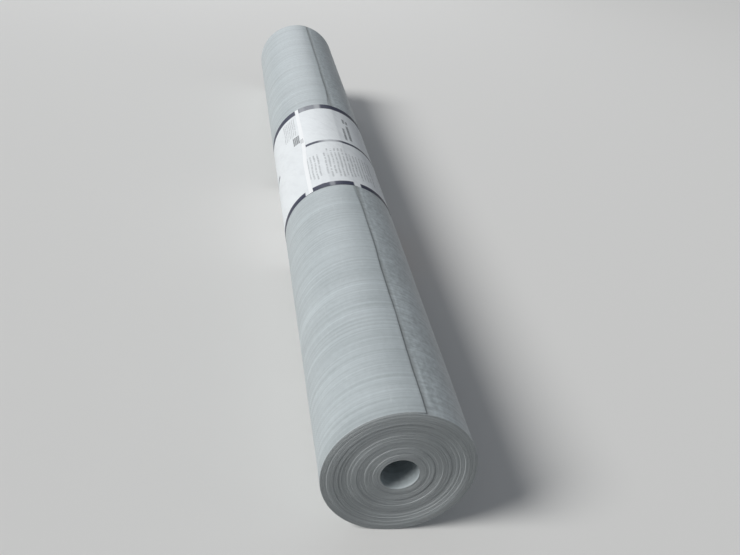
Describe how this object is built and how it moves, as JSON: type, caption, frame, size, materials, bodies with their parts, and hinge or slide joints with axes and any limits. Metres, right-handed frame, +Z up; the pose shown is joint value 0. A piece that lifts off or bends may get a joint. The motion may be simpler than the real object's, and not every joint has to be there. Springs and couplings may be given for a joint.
{
  "type": "roll of synthetic roofing underlayment",
  "caption": "Long roll of silver-grey synthetic roofing underlayment with an open bore, its tail lying along the top and a white printed band wrapped round the middle.",
  "frame": {"origin": "on the floor below the middle of the roll, at the bottom centre of its box", "axes": "+X along the roll, away from the end that lies nearer in the picture; +Y to the picture's left; +Z up"},
  "size_m": [1.2204, 0.1527, 0.1533],
  "materials": {
    "underlayment": "satin coating over a fine plastic weave",
    "label": "white coated paper with navy edge stripes, small grey print and a plain orange block"
  },
  "bodies": {
    "root": {"wound_roll": "underlayment", "label_band": "label"}
  },
  "joints": []
}
